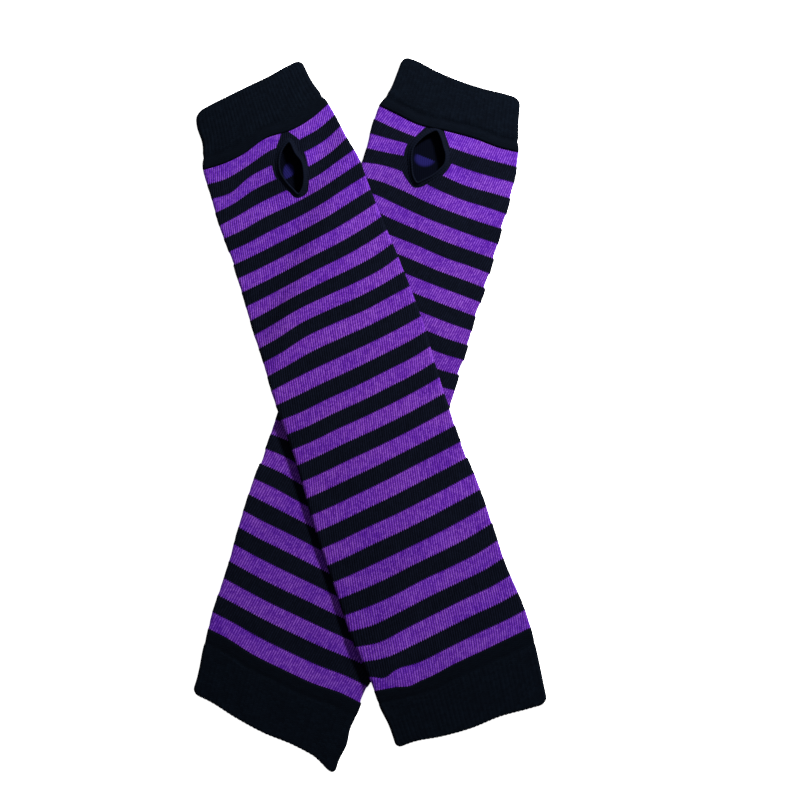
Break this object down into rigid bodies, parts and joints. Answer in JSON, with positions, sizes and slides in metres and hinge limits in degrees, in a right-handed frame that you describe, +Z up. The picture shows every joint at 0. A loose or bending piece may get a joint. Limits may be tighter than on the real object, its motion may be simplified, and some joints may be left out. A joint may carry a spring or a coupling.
{
  "type": "pair of long fingerless gloves",
  "caption": "Pair of long striped knit fingerless gloves with ribbed cuffs and banded thumb holes, laid flat and crossed.",
  "frame": {"origin": "on the surface that the pair lies on, under the middle of the pair's box", "axes": "+Y towards the hand ends, along the length of the crossed pair; +Z up, out of the surface"},
  "size_m": [0.1782, 0.3625, 0.0083],
  "materials": {
    "striped_knit": "matt fine knit in purple and black stripes of equal width",
    "black_ribbed_knit": "matt black one-by-one rib knit",
    "black_band": "matt black rolled and overlocked knit band"
  },
  "bodies": {
    "root": {"lower_hand_cuff": "black_ribbed_knit", "lower_striped_body": "striped_knit", "lower_thumb_band": "black_band", "lower_arm_cuff": "black_ribbed_knit", "upper_hand_cuff": "black_ribbed_knit", "upper_striped_body": "striped_knit", "upper_thumb_band": "black_band", "upper_arm_cuff": "black_ribbed_knit"}
  },
  "joints": []
}
